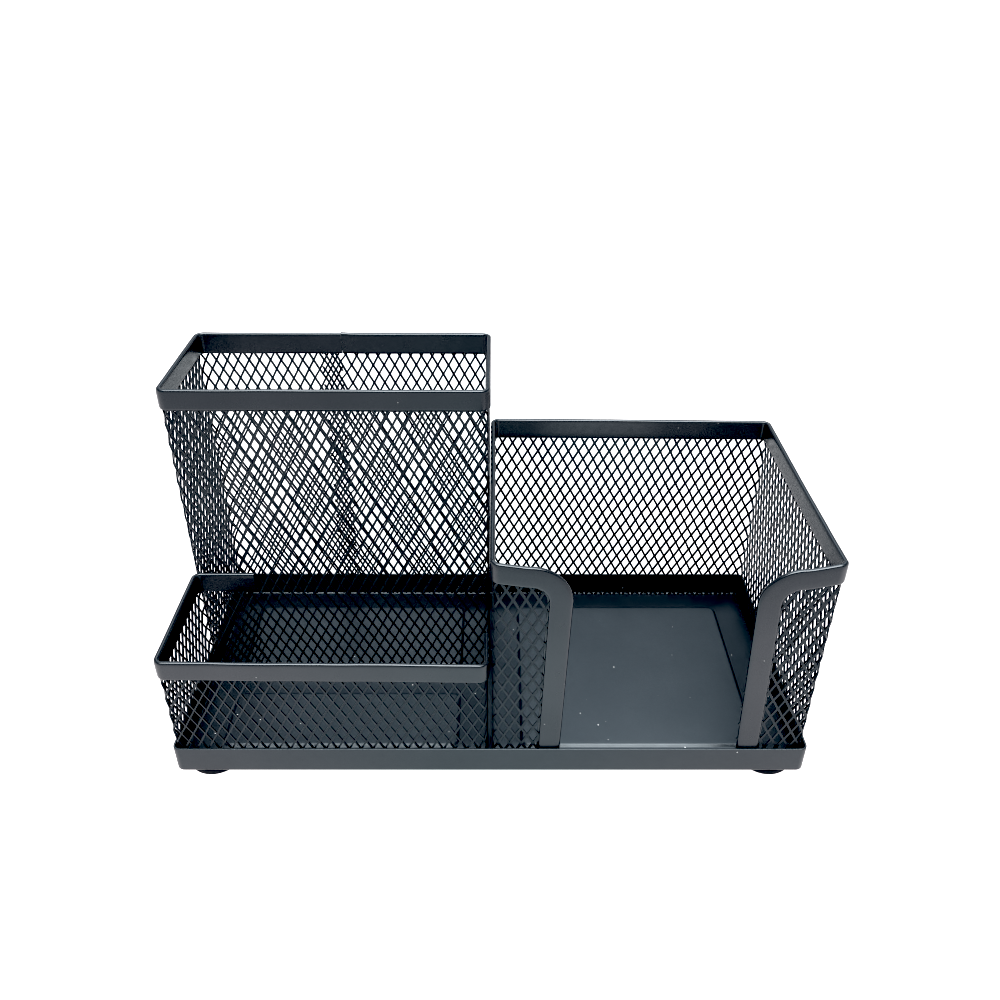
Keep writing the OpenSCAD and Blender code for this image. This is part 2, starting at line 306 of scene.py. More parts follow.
# ------------------------------------------------------------------ expanded metal
def expanded(name, plan, s_range, s_node, z_node, skew, alpha_deg, z_lo, z_hi, warp, pitch=3.3243, tall=6.0427,
             strand=0.56, thick=0.52, bond=0.10, drift=0.0, layer=None, jitter=0.035, stretch=None, stubs=False, lift=None):
    """Expanded-metal strip: zigzag strands side by side, bonded at the nodes of the diamond lattice.

    s_node, z_node: a node of the lattice. skew: how far the columns lean along the wall per mm of height.
    z_hi(s): the upper edge. layer(s): how far a strand stands out of the wall's middle. warp(x, y, z): the
    basket's own lean."""
    hp, ht = pitch / 2, tall / 2
    al = math.radians(alpha_deg)
    W = np.array([math.cos(al), math.sin(al)])
    T = np.array([-math.sin(al), math.cos(al)])
    s0, s1 = s_range
    k0, k1 = int(math.floor((s0 - s_node - 2) / hp)), int(math.ceil((s1 - s_node + 2) / hp))
    j0, j1 = int(math.floor((z_lo - 4 - z_node) / ht)), int(math.ceil((105 - z_node) / ht))
    # the lattice has its own small irregularities, shared by the two strands at a bond
    JK, JJ = k1 - k0 + 3, j1 - j0 + 2
    js = RNG.normal(0, jitter, (JK, JJ))
    jz = RNG.normal(0, jitter * 1.3, (JK, JJ))
    jn = RNG.normal(0, jitter * 0.7, (JK, JJ))
    verts, faces = [], []
    base = 0

    def tube(z, s, n, wv, tv, sc):
        nonlocal base
        s = s + skew * (z - 5.0)
        if stretch is not None:
            s = s + stretch(sc)
        if layer is not None:
            n = n + layer(sc)
        m = len(z)
        ring = []
        for (cw, ct) in ((-1, -1), (1, -1), (1, 1), (-1, 1)):
            off = W * (cw * wv / 2) + T * (ct * tv / 2)
            vs, vn = s + off[0], n + off[1]
            x, y, a, b = plan.at(vs)
            ring.append(np.stack([x + a * vn, y + b * vn, z], 1))
        R = warp(np.stack(ring, 1))
        verts.append(R.reshape(-1, 3))
        idx = base + np.arange(m * 4).reshape(m, 4)
        for c in range(4):
            d = (c + 1) % 4
            faces.append(np.stack([idx[:-1, d], idx[:-1, c], idx[1:, c], idx[1:, d]], 1))
        faces.append(np.array([idx[0], idx[-1, ::-1]]))
        base += m * 4

    half = 0.15
    ease = 0.34
    inside = [k for k in range(k0, k1) if s0 <= s_node + (k + 0.5) * hp <= s1]
    ends = (inside[0] + (1 if stubs else 0), inside[-1] - (1 if stubs else 0))
    for k in inside:
        sc = s_node + (k + 0.5) * hp
        top = z_hi(sc)
        if top is None:
            continue
        wv = strand * (1 + RNG.normal(0, 0.035))
        tv = thick * (1 + RNG.normal(0, 0.03))
        zz, ss, nn = [], [], []
        prev = None
        for j in range(j0, j1):
            side = (k + j) & 1
            col = k + side
            a, b = col - k0, j - j0
            sn = s_node + col * hp + js[a, b]
            zn = z_node + j * ht + jz[a, b] + drift * (sc - s_node) + (lift(s_node + col * hp) if lift else 0.0)
            sg = -1.0 if side else 1.0
            cs = sn + sg * bond * W[0]
            cn = jn[a, b] + sg * bond * W[1]
            if prev is not None:
                ps, pn, pz = prev
                zz += [pz + ease, zn - ease]
                ss += [ps + (cs - ps) * 0.065, cs - (cs - ps) * 0.065]
                nn += [pn + (cn - pn) * 0.065, cn - (cn - pn) * 0.065]
            zz += [zn - half, zn + half]
            ss += [cs, cs]
            nn += [cn, cn]
            prev = (cs, cn, zn)
        zz, ss, nn = np.array(zz), np.array(ss), np.array(nn)
        order = np.argsort(zz, kind="stable")
        zz, ss, nn = zz[order], ss[order], nn[order]
        lo = z_lo + RNG.uniform(-0.05, 0.05)
        keep = (zz > lo + 0.05) & (zz < top - 0.05)
        z = np.concatenate([[lo], zz[keep], [top]])
        s = np.interp(z, zz, ss)
        n = np.interp(z, zz, nn)
        if ends[0] <= k <= ends[1]:
            tube(z, s, n, wv, tv, sc)
        else:  # past the cut only the stubs at the bonds are left
            want = 0 if k > ends[1] else 1
            for j in range(j0, j1):
                if ((k + j) & 1) != want:
                    continue
                zn = z_node + j * ht + drift * (sc - s_node) + (lift(sc) if lift else 0.0)
                r0, r1 = RNG.uniform(0.35, 1.25, 2)
                zl, zh = max(lo, zn - r0), min(top, zn + r1)
                if zh - zl < 0.3:
                    continue
                zq = np.linspace(zl, zh, 5)
                tube(zq, np.interp(zq, zz, ss), np.interp(zq, zz, nn), wv, tv, sc)
    V = np.concatenate(verts)
    F = np.concatenate(faces)
    return V, F


# ------------------------------------------------------------------ rolled trim
def trim_profile():
    """Section of the rolled trim. n: out of the wall, 0 at the outer face. u: towards the free edge, 0 at the bead's top."""
    side = [(-0.62, -0.012), (-0.48, -0.052), (-0.35, -0.12), (-0.24, -0.22), (-0.155, -0.35), (-0.095, -0.50), (-0.055, -0.68),
            (-0.032, -0.92), (-0.014, -1.25), (-0.003, -1.75), (0.0, -2.4), (0.0, -3.8), (0.0, -5.30), (-0.02, -5.56), (-0.07, -5.80),
            (-0.16, -5.98), (-0.27, -6.04), (-0.36, -5.98), (-0.41, -5.82), (-0.42, -5.5), (-0.42, -2.5)]
    pts = [(-0.75, 0.0)] + side
    pinch = 0.045  # the inner leg leans in towards the mesh
    pts += [(-1.5 - n + pinch * max(0.0, min(-u, 6.0) - 0.9), u - 0.6 * min(1.0, max(0.0, (-u - 2.3) / 1.5))) for n, u in side][::-1]
    return pts


def sweep(frames, profile, closed=False):
    """frames: (point, N, U) along the trim. Returns vertices and faces, with end caps on an open one."""
    m = len(profile)
    V, F = [], []
    for P, N, U in frames:
        for n, u in profile:
            V.append((P[0] + N[0] * n + U[0] * u, P[1] + N[1] * n + U[1] * u, P[2] + N[2] * n + U[2] * u))
    k = len(frames)
    for i in range(k if closed else k - 1):
        a, b = i * m, ((i + 1) % k) * m
        for c in range(m):
            d = (c + 1) % m
            F.append((a + c, a + d, b + d, b + c))
    if not closed:
        F.append(tuple(range(m))[::-1])
        F.append(tuple((k - 1) * m + c for c in range(m)))
    return np.array(V), F


def plan_frames(plan, s_list, z_of, out_of=None):
    fr = []
    for s in s_list:
        x, y, a, b = (float(v) for v in plan.at(s))
        o = out_of(s) if out_of else 0.0
        fr.append(((x + a * o, y + b * o, z_of(s, x, y)), (a, b, 0.0), (0.0, 0.0, 1.0)))
    return fr


def stations(plan, s0, s1, step=3.0):
    """Arc lengths from s0 to s1: every sample of the corners, and steps along the straights."""
    inside = [s for s in plan.s if s0 + 1e-6 < s < s1 - 1e-6]
    cuts = sorted(set([s0, s1] + inside))
    out = []
    for a, b in zip(cuts, cuts[1:]):
        n = max(1, int(round((b - a) / step)))
        out += [a + (b - a) * i / n for i in range(n)]
    out.append(s1)
    return out


# ------------------------------------------------------------------ the three baskets
MESH_IN = 0.75  # the mesh's middle, inside the trim's outer face

CUP_X0, CUP_X1, CUP_Y0, CUP_Y1, CUP_Z = -90.2, -0.08, 40.95, 82.2, 100.7
TRAY_X0, TRAY_X1, TRAY_Y0, TRAY_Y1, TRAY_Z = -89.9, -0.35, 0.6, 41.0, 40.1
NOTE_X0, NOTE_X1, NOTE_Y0, NOTE_Y1, NOTE_Z = -0.25, 89.3, 0.8, 81.0, 71.9
CORNER = 2.8


def warp_between(y0, f0, y1, f1):
    """Moves the front wall by f0(z) and the rear wall by f1(z), and what is between them in proportion."""

    def go(R):
        R = R.copy()
        t = np.clip((R[..., 1] - y0) / (y1 - y0), 0, 1)
        R[..., 1] += f0(R[..., 2]) * (1 - t) + f1(R[..., 2]) * t
        return R

    return go


# pen cup: starts and ends in the rear wall, at the seam
SEAM_X = -45.8
cup_out = Plan([(SEAM_X, CUP_Y1), (CUP_X0, CUP_Y1), (CUP_X0, CUP_Y0), (CUP_X1, CUP_Y0), (CUP_X1, CUP_Y1), (SEAM_X, CUP_Y1)], CORNER)
cup_mid = Plan([(SEAM_X, CUP_Y1 - MESH_IN), (CUP_X0 + MESH_IN, CUP_Y1 - MESH_IN), (CUP_X0 + MESH_IN, CUP_Y0 + MESH_IN),
                (CUP_X1 - MESH_IN, CUP_Y0 + MESH_IN), (CUP_X1 - MESH_IN, CUP_Y1 - MESH_IN), (SEAM_X, CUP_Y1 - MESH_IN)], CORNER - MESH_IN)


def s_front(plan, y, x):
    """Arc length at which the plan line passes x on its front wall."""
    s = np.linspace(0, plan.length, 40001)
    px, py, _, nb = plan.at(s)
    ok = nb < -0.999
    i = np.argmin(np.where(ok, abs(px - x), 1e9))
    return float(s[i])


LAP = 8.4
cup_s = s_front(cup_mid, CUP_Y0, -65.21)
cup_warp = warp_between(CUP_Y0, lambda z: -0.004 * (CUP_Z - z), CUP_Y1, lambda z: 0.002 * (CUP_Z - z))


def cup_layer(s):
    # the lap in the rear wall: the first end lies outside, the last end inside
    if s < LAP:
        return 0.30 * min(1.0, (LAP + 3 - s) / 3)
    if s > cup_mid.length - 0.2:
        return -0.30
    if s > cup_mid.length - 4:
        return -0.30 * (s - (cup_mid.length - 4)) / 4
    return 0.0


def cup_stretch(s):
    # how far the strip is pulled along itself towards its two ends
    return float(np.interp(s, [44.0, 86.0, 175.0, 216.0], [-0.20, 0.0, 0.0, 0.30]))


def cup_lift(s):
    # the strip is bent round a little out of square, so its rows climb from one end to the other; in the lap
    # the last end sits a quarter of a diamond higher, so the two layers fill each other's gaps
    end = cup_mid.length
    return float(np.interp(s, [44.0, 86.0, 175.0, 216.0, end - 0.8, end + 2.6], [-1.05, 0.0, 0.0, 0.44, 0.44, 1.94]))


V, F = expanded("pen_cup", cup_mid, (0.4, cup_mid.length + LAP), cup_s + 0.0196 * (86.76 - 5.0), 86.76, -0.0196, 14, 0.66,
                lambda s: CUP_Z - 1.15, cup_warp, layer=cup_layer, strand=0.60, thick=0.36, stretch=cup_stretch, stubs=True,
                lift=cup_lift)
cup_mesh = new_object("pen_cup_expanded_metal", V, F, MAT_MESH)

# front tray: rear return, left wall, front wall, right return
tray_out = Plan([(-71.4, TRAY_Y1), (TRAY_X0, TRAY_Y1), (TRAY_X0, TRAY_Y0), (TRAY_X1, TRAY_Y0), (TRAY_X1, 14.5)], CORNER)
tray_mid = Plan([(-71.4, TRAY_Y1 - MESH_IN), (TRAY_X0 + MESH_IN, TRAY_Y1 - MESH_IN), (TRAY_X0 + MESH_IN, TRAY_Y0 + MESH_IN),
                 (TRAY_X1 - MESH_IN, TRAY_Y0 + MESH_IN), (TRAY_X1 - MESH_IN, 14.5)], CORNER - MESH_IN)
tray_s = s_front(tray_mid, TRAY_Y0, -37.99)
tray_warp = warp_between(TRAY_Y0, lambda z: -0.008 * (TRAY_Z - z), TRAY_Y1, lambda z: 0.0 * z)
V, F = expanded("front_tray", tray_mid, (0.5, tray_mid.length - 0.5), tray_s - 0.0179 * (29.2 - 5.0), 29.20, 0.0179, 12, 0.66,
                lambda s: TRAY_Z - 1.15, tray_warp, strand=0.55, thick=0.42)
tray_mesh = new_object("front_tray_expanded_metal", V, F, MAT_MESH)

# note holder: left cheek, left wall, rear, right wall, right cheek (travelling anticlockwise is right cheek first)
note_out = Plan([(70.0, NOTE_Y0), (NOTE_X1, NOTE_Y0), (NOTE_X1, NOTE_Y1), (NOTE_X0, NOTE_Y1), (NOTE_X0, NOTE_Y0), (19.0, NOTE_Y0)], CORNER)
note_mid = Plan([(70.0, NOTE_Y0 + MESH_IN), (NOTE_X1 - MESH_IN, NOTE_Y0 + MESH_IN), (NOTE_X1 - MESH_IN, NOTE_Y1 - MESH_IN),
                 (NOTE_X0 + MESH_IN, NOTE_Y1 - MESH_IN), (NOTE_X0 + MESH_IN, NOTE_Y0 + MESH_IN), (19.0, NOTE_Y0 + MESH_IN)], CORNER - MESH_IN)


def note_top(x, y):
    """The holder's top edge is not quite level: its height over NOTE_Z by place."""
    if y > NOTE_Y1 - 3:
        return float(np.interp(x, [0, 12, 60, 88], [0.30, 0.22, -0.05, -0.32]))
    left = float(np.interp(y, [0, 3, 12, 40, 81], [1.0, 0.85, 0.55, 0.30, 0.30]))
    right = float(np.interp(y, [0, 3, 12, 40, 81], [1.0, 0.85, 0.45, 0.0, -0.32]))
    if x < 30 and y < 3:
        return float(np.interp(x, [0, 3, 7.3, 12.2, 20], [1.0, 0.85, 0.45, -0.15, -0.3]))
    if x > 60 and y < 3:
        return float(np.interp(x, [70, 76.6, 82, 86, 89], [-0.9, -0.65, 0.2, 0.85, 1.0]))
    return left if x < 45 else right


OPEN_R = 11.0
OPEN_L = (10.1, 60.75)
OPEN_RT = (78.9, 60.15)


def cheek_edge_left(z):
    return 19.7 + (21.1 - 19.7) * (z - 8.6) / (58 - 8.6)


def cheek_edge_right(z):
    return 69.4 + (67.6 - 69.4) * (z - 8.6) / (58 - 8.6)


def note_hi(s):
    x, y, a, b = (float(v) for v in note_mid.at(s))
    top = NOTE_Z + note_top(x, y) - 1.15
    if b < -0.9 and y < 3:
        rr = OPEN_R - 1.4
        if x < 45:
            if x > OPEN_L[0]:
                d = x - OPEN_L[0]
                if d >= rr:
                    return None
                top = min(top, OPEN_L[1] + math.sqrt(rr * rr - d * d))
        else:
            if x < OPEN_RT[0]:
                d = OPEN_RT[0] - x
                if d >= rr:
                    return None
                top = min(top, OPEN_RT[1] + math.sqrt(rr * rr - d * d))
    return top


def s_on(plan, x, first):
    s = np.linspace(0, plan.length, 60001)
    px, py, _, nb = plan.at(s)
    ok = (nb < -0.999) & ((s < 40) if first else (s > plan.length - 40))
    return float(s[np.argmin(np.where(ok, abs(px - x), 1e9))])


s_l = s_on(note_mid, 5.70, False)
s_r = s_on(note_mid, 79.04, True)
# ds/dz on the cheeks and rear is one number for the one strip
NOTE_SKEW = -0.0254
node_l = s_l - NOTE_SKEW * (61.44 - 5)
node_r = s_r - NOTE_SKEW * (29.70 - 5)
n_half = round((node_l - node_r) / (3.3243 / 2))
n_half += n_half % 2
note_pitch = 2 * (node_l - node_r) / n_half
note_drift = (29.70 - (61.44 - 10 * 6.0427 / 2)) / (node_r - node_l)
note_warp = warp_between(NOTE_Y0, lambda z: -0.002 * (NOTE_Z - z), NOTE_Y1, lambda z: 0.012 * (NOTE_Z - z))


def note_rear(s):
    """1 on the rear wall, falling to 0 along the side walls."""
    return float(np.interp(s, [20.0, 98.0, 184.0, 262.0], [0.0, 1.0, 1.0, 0.0]))


def note_stretch(s):
    return -float(np.interp(s, [20.0, 98.0, 184.0, 262.0], [0.0, 1.75, 0.9, 0.0]))


def note_lift(s):
    return -0.42 * note_rear(s)


V, F = expanded("note_holder", note_mid, (0.2, note_mid.length - 0.2), node_l, 61.44, NOTE_SKEW, 2, 0.66, note_hi,
                note_warp, pitch=note_pitch, drift=note_drift, strand=0.68, thick=0.38, stretch=note_stretch, lift=note_lift)
note_mesh = new_object("note_holder_expanded_metal", V, F, MAT_MESH)

# ------------------------------------------------------------------ trims
PROFILE = trim_profile()


def make_trim(name, frames, closed=False):
    V, F = sweep(frames, PROFILE, closed)
    ob = new_object(name, V, F, MAT_TRIM, smooth=38)
    recalc(ob)
    ob.data.set_sharp_from_angle(angle=math.radians(38))
    return ob


def wob(s, amp, seed):
    """A slow, small irregularity of a hand-fitted trim."""
    return amp * (math.sin(s * 0.11 + seed) + 0.6 * math.sin(s * 0.27 + 2.1 * seed) + 0.35 * math.sin(s * 0.63 + 0.7 * seed))


SEAM_GAP = 0.10
st = stations(cup_out, SEAM_GAP / 2, cup_out.length - SEAM_GAP / 2)


def cup_z(s, x, y):
    z = CUP_Z + wob(s, 0.035, 1.3)
    d = min(s, cup_out.length - s)
    if s > cup_out.length / 2:
        z += 0.22 * max(0.0, 1 - d / 5.0)
    return z


cup_rim = make_trim("pen_cup_rolled_trim", plan_frames(cup_out, st, cup_z, lambda s: wob(s, 0.03, 2.7)))

st = stations(tray_out, 0.0, tray_out.length)


def tray_z(s, x, y):
    z = TRAY_Z + wob(s, 0.03, 0.4)
    if y < 3:
        z += float(np.interp(x, [-89, -60, -30, 0], [0.5, 0.1, -0.1, -0.5]))
    else:
        z += 0.5 if x < -45 else -0.5
    return z


tray_rim = make_trim("front_tray_rolled_trim", plan_frames(tray_out, st, tray_z, lambda s: wob(s, 0.03, 5.2)))


def note_frames():
    """Up the right side of the finger opening, round its corner, along the top all round, and down the left side."""
    fr = []
    y = NOTE_Y0
    N = (0.0, -1.0, 0.0)
    # right side, going up; the free edge looks to -x
    a0 = math.atan2(67.6 - 69.4, 58 - 8.6)  # lean of the right side
    cx, cz = OPEN_RT
    ang0 = math.pi + (-a0) * 0  # start of the arc, straight left of its centre
    p_end = (cx - OPEN_R, cz)
    zs = np.linspace(0.66, cz, 22)
    for z in zs[:-1]:
        x = p_end[0] + (69.4 - 67.6) / (58 - 8.6) * (cz - z)
        fr.append(((x, y, z), N, (-math.cos(a0), 0.0, math.sin(a0) * 1.0)))
    for k in range(0, 15):
        a = math.pi - (math.pi / 2) * k / 14
        x, z = cx + OPEN_R * math.cos(a), cz + OPEN_R * math.sin(a)
        U = (math.cos(a), 0.0, math.sin(a))
        fr.append(((x, y, z), N, U))
    # along the top
    top_r = cz + OPEN_R
    s_a = s_on(note_out, cx, True)
    s_b = s_on(note_out, OPEN_L[0], False)
    top_l = OPEN_L[1] + OPEN_R
    for s in stations(note_out, s_a + 1.0, s_b - 1.0):
        x, yy, a, b = (float(v) for v in note_out.at(s))
        z = NOTE_Z + note_top(x, yy) + wob(s, 0.025, 3.1)
        o = wob(s, 0.02, 4.4) if yy > 4 else 0.0
        w0 = max(0.0, 1 - (s - s_a) / 6.0)
        w1 = max(0.0, 1 - (s_b - s) / 6.0)
        z = z * (1 - w0) + top_r * w0
        z = z * (1 - w1) + top_l * w1
        fr.append(((x + a * o, yy + b * o, z), (a, b, 0.0), (0.0, 0.0, 1.0)))
    cx, cz = OPEN_L
    for k in range(0, 15):
        a = math.pi / 2 - (math.pi / 2) * k / 14
        x, z = cx + OPEN_R * math.cos(a), cz + OPEN_R * math.sin(a)
        fr.append(((x, y, z), N, (math.cos(a), 0.0, math.sin(a))))
    a1 = math.atan2(21.1 - 19.7, 58 - 8.6)
    for z in zs_left(cz):
        x = cx + OPEN_R - (21.1 - 19.7) / (58 - 8.6) * (cz - z)
        fr.append(((x, y, z), N, (math.cos(a1), 0.0, -math.sin(a1))))
    return fr


def zs_left(cz):
    return np.linspace(cz, 0.66, 22)[1:]


note_rim = make_trim("note_holder_rolled_trim", note_frames())


# ------------------------------------------------------------------ base sheet
BASE_X, BASE_D, BASE_H, SHEET = 90.0, 82.4, 8.9, 0.6
PAN_R = 2.0


def rounded_rect(x0, x1, y0, y1, r, z, per=9):
    pts = []
    for cx, cy, a0 in ((x1 - r, y1 - r, 0), (x0 + r, y1 - r, 90), (x0 + r, y0 + r, 180), (x1 - r, y0 + r, 270)):
        for k in range(per):
            a = math.radians(a0 + 90 * k / (per - 1))
            pts.append((cx + r * math.cos(a), cy + r * math.sin(a), z))
    return pts


def pan_ring(inset, z, per=9):
    """A ring inset from the base's outer line. A negative radius never happens: the corner keeps at least 0.25."""
    return rounded_rect(-BASE_X + inset, BASE_X - inset, inset, BASE_D - inset, max(PAN_R - inset, 0.25), z, per)


def pan():
    bm = bmesh.new()

    def ring(pts):
        return [bm.verts.new(p) for p in pts]

    def bridge(a, b):
        n = len(a)
        for i in range(n):
            j = (i + 1) % n
            bm.faces.new((a[i], a[j], b[j], b[i]))

    rb = 0.95  # outer bend radius
    ri = 0.85
    # outer skin, from under the floor up the flange, over its edge and down the inside to the floor
    chain = []
    for k in range(0, 7):
        a = math.radians(90 * k / 6)
        chain.append((rb - rb * math.sin(a), rb - rb * math.cos(a)))
    under_start = chain[0]
    chain.append((0.0, 4.5))
    e = 0.24
    chain.append((0.0, BASE_H - e))
    for k in range(1, 7):
        a = math.radians(90 * k / 6)
        chain.append((e - e * math.cos(a), BASE_H - e + e * math.sin(a)))
    for k in range(1, 7):
        a = math.radians(90 * k / 6)
        chain.append((SHEET - e + e * math.sin(a), BASE_H - e + e * math.cos(a)))
    chain.append((SHEET, 4.5))
    for k in range(0, 7):
        a = math.radians(90 * k / 6)
        chain.append((SHEET + ri - ri * math.cos(a), SHEET + ri - ri * math.sin(a)))
    rings = [ring(pan_ring(i, z)) for i, z in chain]
    for a, b in zip(rings, rings[1:]):
        bridge(a, b)
    under_loop, floor_loop = rings[0], rings[-1]
    # panels: pressed up 0.6 with a sloped, rounded edge
    panels = [(9.2, 78.5, 8.9, 73.0), (-79.0, -9.8, 8.9, 30.3), (-80.4, -9.8, 43.6, 73.0)]
    step = [(-0.50, 0.0), (-0.42, 0.02), (-0.33, 0.075), (-0.24, 0.15), (0.0, 0.33), (0.16, 0.45), (0.26, 0.515), (0.38, 0.565), (0.50, 0.59), (0.66, 0.6)]
    top_holes, under_holes = [], []
    for x0, x1, y0, y1 in panels:
        for z0, holes, shift in ((SHEET, top_holes, 0.0), (0.0, under_holes, 0.15)):
            last = None
            first = None
            for off, h in step:
                o = off + (shift if 0.02 < h < 0.595 else 0.0)
                rr = 2.4 - o
                r = ring(rounded_rect(x0 + o, x1 - o, y0 + o, y1 - o, rr, z0 + h, 9))
                if first is None:
                    first = r
                if last is not None:
                    bridge(last, r)
                last = r
            # the panel's face, with a slightly finer ring so that its shading stays flat
            inner = ring(rounded_rect(x0 + 1.5, x1 - 1.5, y0 + 1.5, y1 - 1.5, 1.2, z0 + 0.6, 9))
            bridge(last, inner)
            bm.faces.new(inner)
            holes.append(first)

    def fill(loop, holes, z):
        edges = []
        for lp in [loop] + holes:
            for i in range(len(lp)):
                v, w = lp[i], lp[(i + 1) % len(lp)]
                e_ = bm.edges.get((v, w)) or bm.edges.new((v, w))
                edges.append(e_)
        bmesh.ops.triangle_fill(bm, use_beauty=True, use_dissolve=False, edges=edges, normal=(0, 0, 1))

    # a flat margin ring keeps the bend's shading off the floor
    margin = ring(pan_ring(1.75, SHEET))
    bridge(floor_loop, margin)
    fill(margin, top_holes, SHEET)
    margin_u = ring(pan_ring(1.75, 0.0))
    bridge(margin_u, under_loop)
    fill(margin_u, under_holes, 0.0)
    bmesh.ops.recalc_face_normals(bm, faces=bm.faces)
    me = bpy.data.meshes.new("base_pressed_sheet")
    bm.to_mesh(me)
    bm.free()
    co = np.empty(len(me.vertices) * 3, np.float32)
    me.vertices.foreach_get("co", co)
    co = place(co.reshape(-1, 3))
    me.vertices.foreach_set("co", co.astype(np.float32).ravel())
    me.update()
    me.polygons.foreach_set("use_smooth", [True] * len(me.polygons))
    me.set_sharp_from_angle(angle=math.radians(34))
    ob = bpy.data.objects.new("base_pressed_sheet", me)
    bpy.context.scene.collection.objects.link(ob)
    me.materials.append(MAT_SHEET)
    return ob


base = pan()


# ------------------------------------------------------------------ feet
def foot(name, cx, cy):
    """A round rubber pad: rounded lower edge, a shallow dished underside and a small lip at its top."""
    prof = [(0.0, -2.15), (3.2, -2.15), (5.4, -2.18), (5.9, -2.28), (6.3, -2.38), (6.7, -2.4), (7.15, -2.38), (7.5, -2.28), (7.75, -2.08),
            (7.88, -1.80), (7.96, -1.4), (8.0, -0.9), (8.0, -0.30), (7.96, -0.14), (7.85, -0.03), (7.65, 0.0), (4.0, 0.0), (0.0, 0.0)]
    n = 72
    V, F = [], []
    rows = []
    for r, z in prof:
        if r == 0.0:
            V.append((cx, cy, z))
            rows.append([len(V) - 1])
        else:
            row = []
            for k in range(n):
                a = 2 * math.pi * k / n
                V.append((cx + r * math.cos(a), cy + r * math.sin(a), z))
                row.append(len(V) - 1)
            rows.append(row)
    for a, b in zip(rows, rows[1:]):
        for k in range(n):
            j = (k + 1) % n
            if len(a) == 1:
                F.append((a[0], b[j], b[k]))
            elif len(b) == 1:
                F.append((a[k], a[j], b[0]))
            else:
                F.append((a[k], a[j], b[j], b[k]))
    ob = new_object(name, np.array(V), F, MAT_FOOT, smooth=40)
    recalc(ob)
    ob.data.set_sharp_from_angle(angle=math.radians(40))
    return ob


FEET = [("foot_front_left", -80.8, 8.4), ("foot_front_right", 80.8, 8.4), ("foot_rear_left", -80.8, 74.0), ("foot_rear_right", 80.8, 74.0)]
feet = [(n, foot("rubber_" + n, x, y)) for n, x, y in FEET]

# ------------------------------------------------------------------ frame bookkeeping
for ob, node, slot in [(cup_mesh, "pen_cup_mesh", "mesh"), (cup_rim, "pen_cup_rim", "trim"),
                       (tray_mesh, "front_tray_mesh", "mesh"), (tray_rim, "front_tray_rim", "trim"),
                       (note_mesh, "note_holder_mesh", "mesh"), (note_rim, "note_holder_rim", "trim"),
                       (base, "base_pan", "base_sheet")] + [(o, n, "foot") for n, o in feet]:
    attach(ob, "root")
    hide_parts(node)

# CAD nodes keep a finish of their own too, although each has its modelled stand-in
for node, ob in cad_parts.items():
    ob.data.materials.clear()
    ob.data.materials.append(MAT_FOOT if node.startswith("foot") else MAT_SHEET if node == "base_pan" else MAT_TRIM if node.endswith("rim") else MAT_MESH)

# ------------------------------------------------------------------ floor
# the even floor glow, then the painted pool of light in front of the object: its strength, its centre's offset in y,
# and its inner and outer radii
GLOW, LIGHT_POOL, LIGHT_POOL_Y, LIGHT_POOL_R0, LIGHT_POOL_R1 = 0.75, 0.75, 0.090, 0.004, 0.068
fm = bpy.data.meshes.new("studio_floor")
S = 9.0
fm.from_pydata([(-S, -S, 0), (S, -S, 0), (S, S, 0), (-S, S, 0)], [], [(0, 1, 2, 3)])
floor = bpy.data.objects.new("studio_floor", fm)
bpy.context.scene.collection.objects.link(floor)
m = bpy.data.materials.new("pale_floor")
nt = nodes_of(m)
out = nt.nodes.new("ShaderNodeOutputMaterial")
bs = nt.nodes.new("ShaderNodeBsdfPrincipled")
nt.links.new(bs.outputs["BSDF"], out.inputs["Surface"])
fn = noise(nt, nt.nodes.new("ShaderNodeTexCoord").outputs["Object"], 25.0, 2.0, 0.5)
fc = ramp(nt, fn.outputs["Fac"], [(0.3, (0.145, 0.145, 0.145, 1)), (0.7, (0.155, 0.155, 0.155, 1))])
nt.links.new(fc.outputs["Color"], bs.inputs["Base Color"])
bs.inputs["Roughness"].default_value = 0.9
bs.inputs["Specular IOR Level"].default_value = 0.0
# the floor glows a little and evenly, and a painted pool of light, with no lamp behind it, is added on the floor in
# front of the object
sp = nt.nodes.new("ShaderNodeSeparateXYZ")
nt.links.new(nt.nodes.new("ShaderNodeTexCoord").outputs["Object"], sp.inputs[0])
vx = nt.nodes.new("ShaderNodeMath")
vx.operation = "MULTIPLY"
vx.inputs[1].default_value = 0.15
nt.links.new(sp.outputs["X"], vx.inputs[0])
vy = nt.nodes.new("ShaderNodeMath")
vy.operation = "ADD"
vy.inputs[1].default_value = LIGHT_POOL_Y
nt.links.new(sp.outputs["Y"], vy.inputs[0])
cb = nt.nodes.new("ShaderNodeCombineXYZ")
nt.links.new(vx.outputs[0], cb.inputs[0])
nt.links.new(vy.outputs[0], cb.inputs[1])
ln = nt.nodes.new("ShaderNodeVectorMath")
ln.operation = "LENGTH"
nt.links.new(cb.outputs[0], ln.inputs[0])
# painted light: the emission strength rises from the even glow to a bright painted pool of light in front of the object
glow_and_light_pool = nt.nodes.new("ShaderNodeMapRange")
glow_and_light_pool.interpolation_type = "SMOOTHSTEP"
glow_and_light_pool.inputs["From Min"].default_value = LIGHT_POOL_R0
glow_and_light_pool.inputs["From Max"].default_value = LIGHT_POOL_R1
glow_and_light_pool.inputs["To Min"].default_value = GLOW + LIGHT_POOL
glow_and_light_pool.inputs["To Max"].default_value = GLOW
nt.links.new(ln.outputs["Value"], glow_and_light_pool.inputs["Value"])
ax = nt.nodes.new("ShaderNodeMath")
ax.operation = "ABSOLUTE"
nt.links.new(sp.outputs["X"], ax.inputs[0])
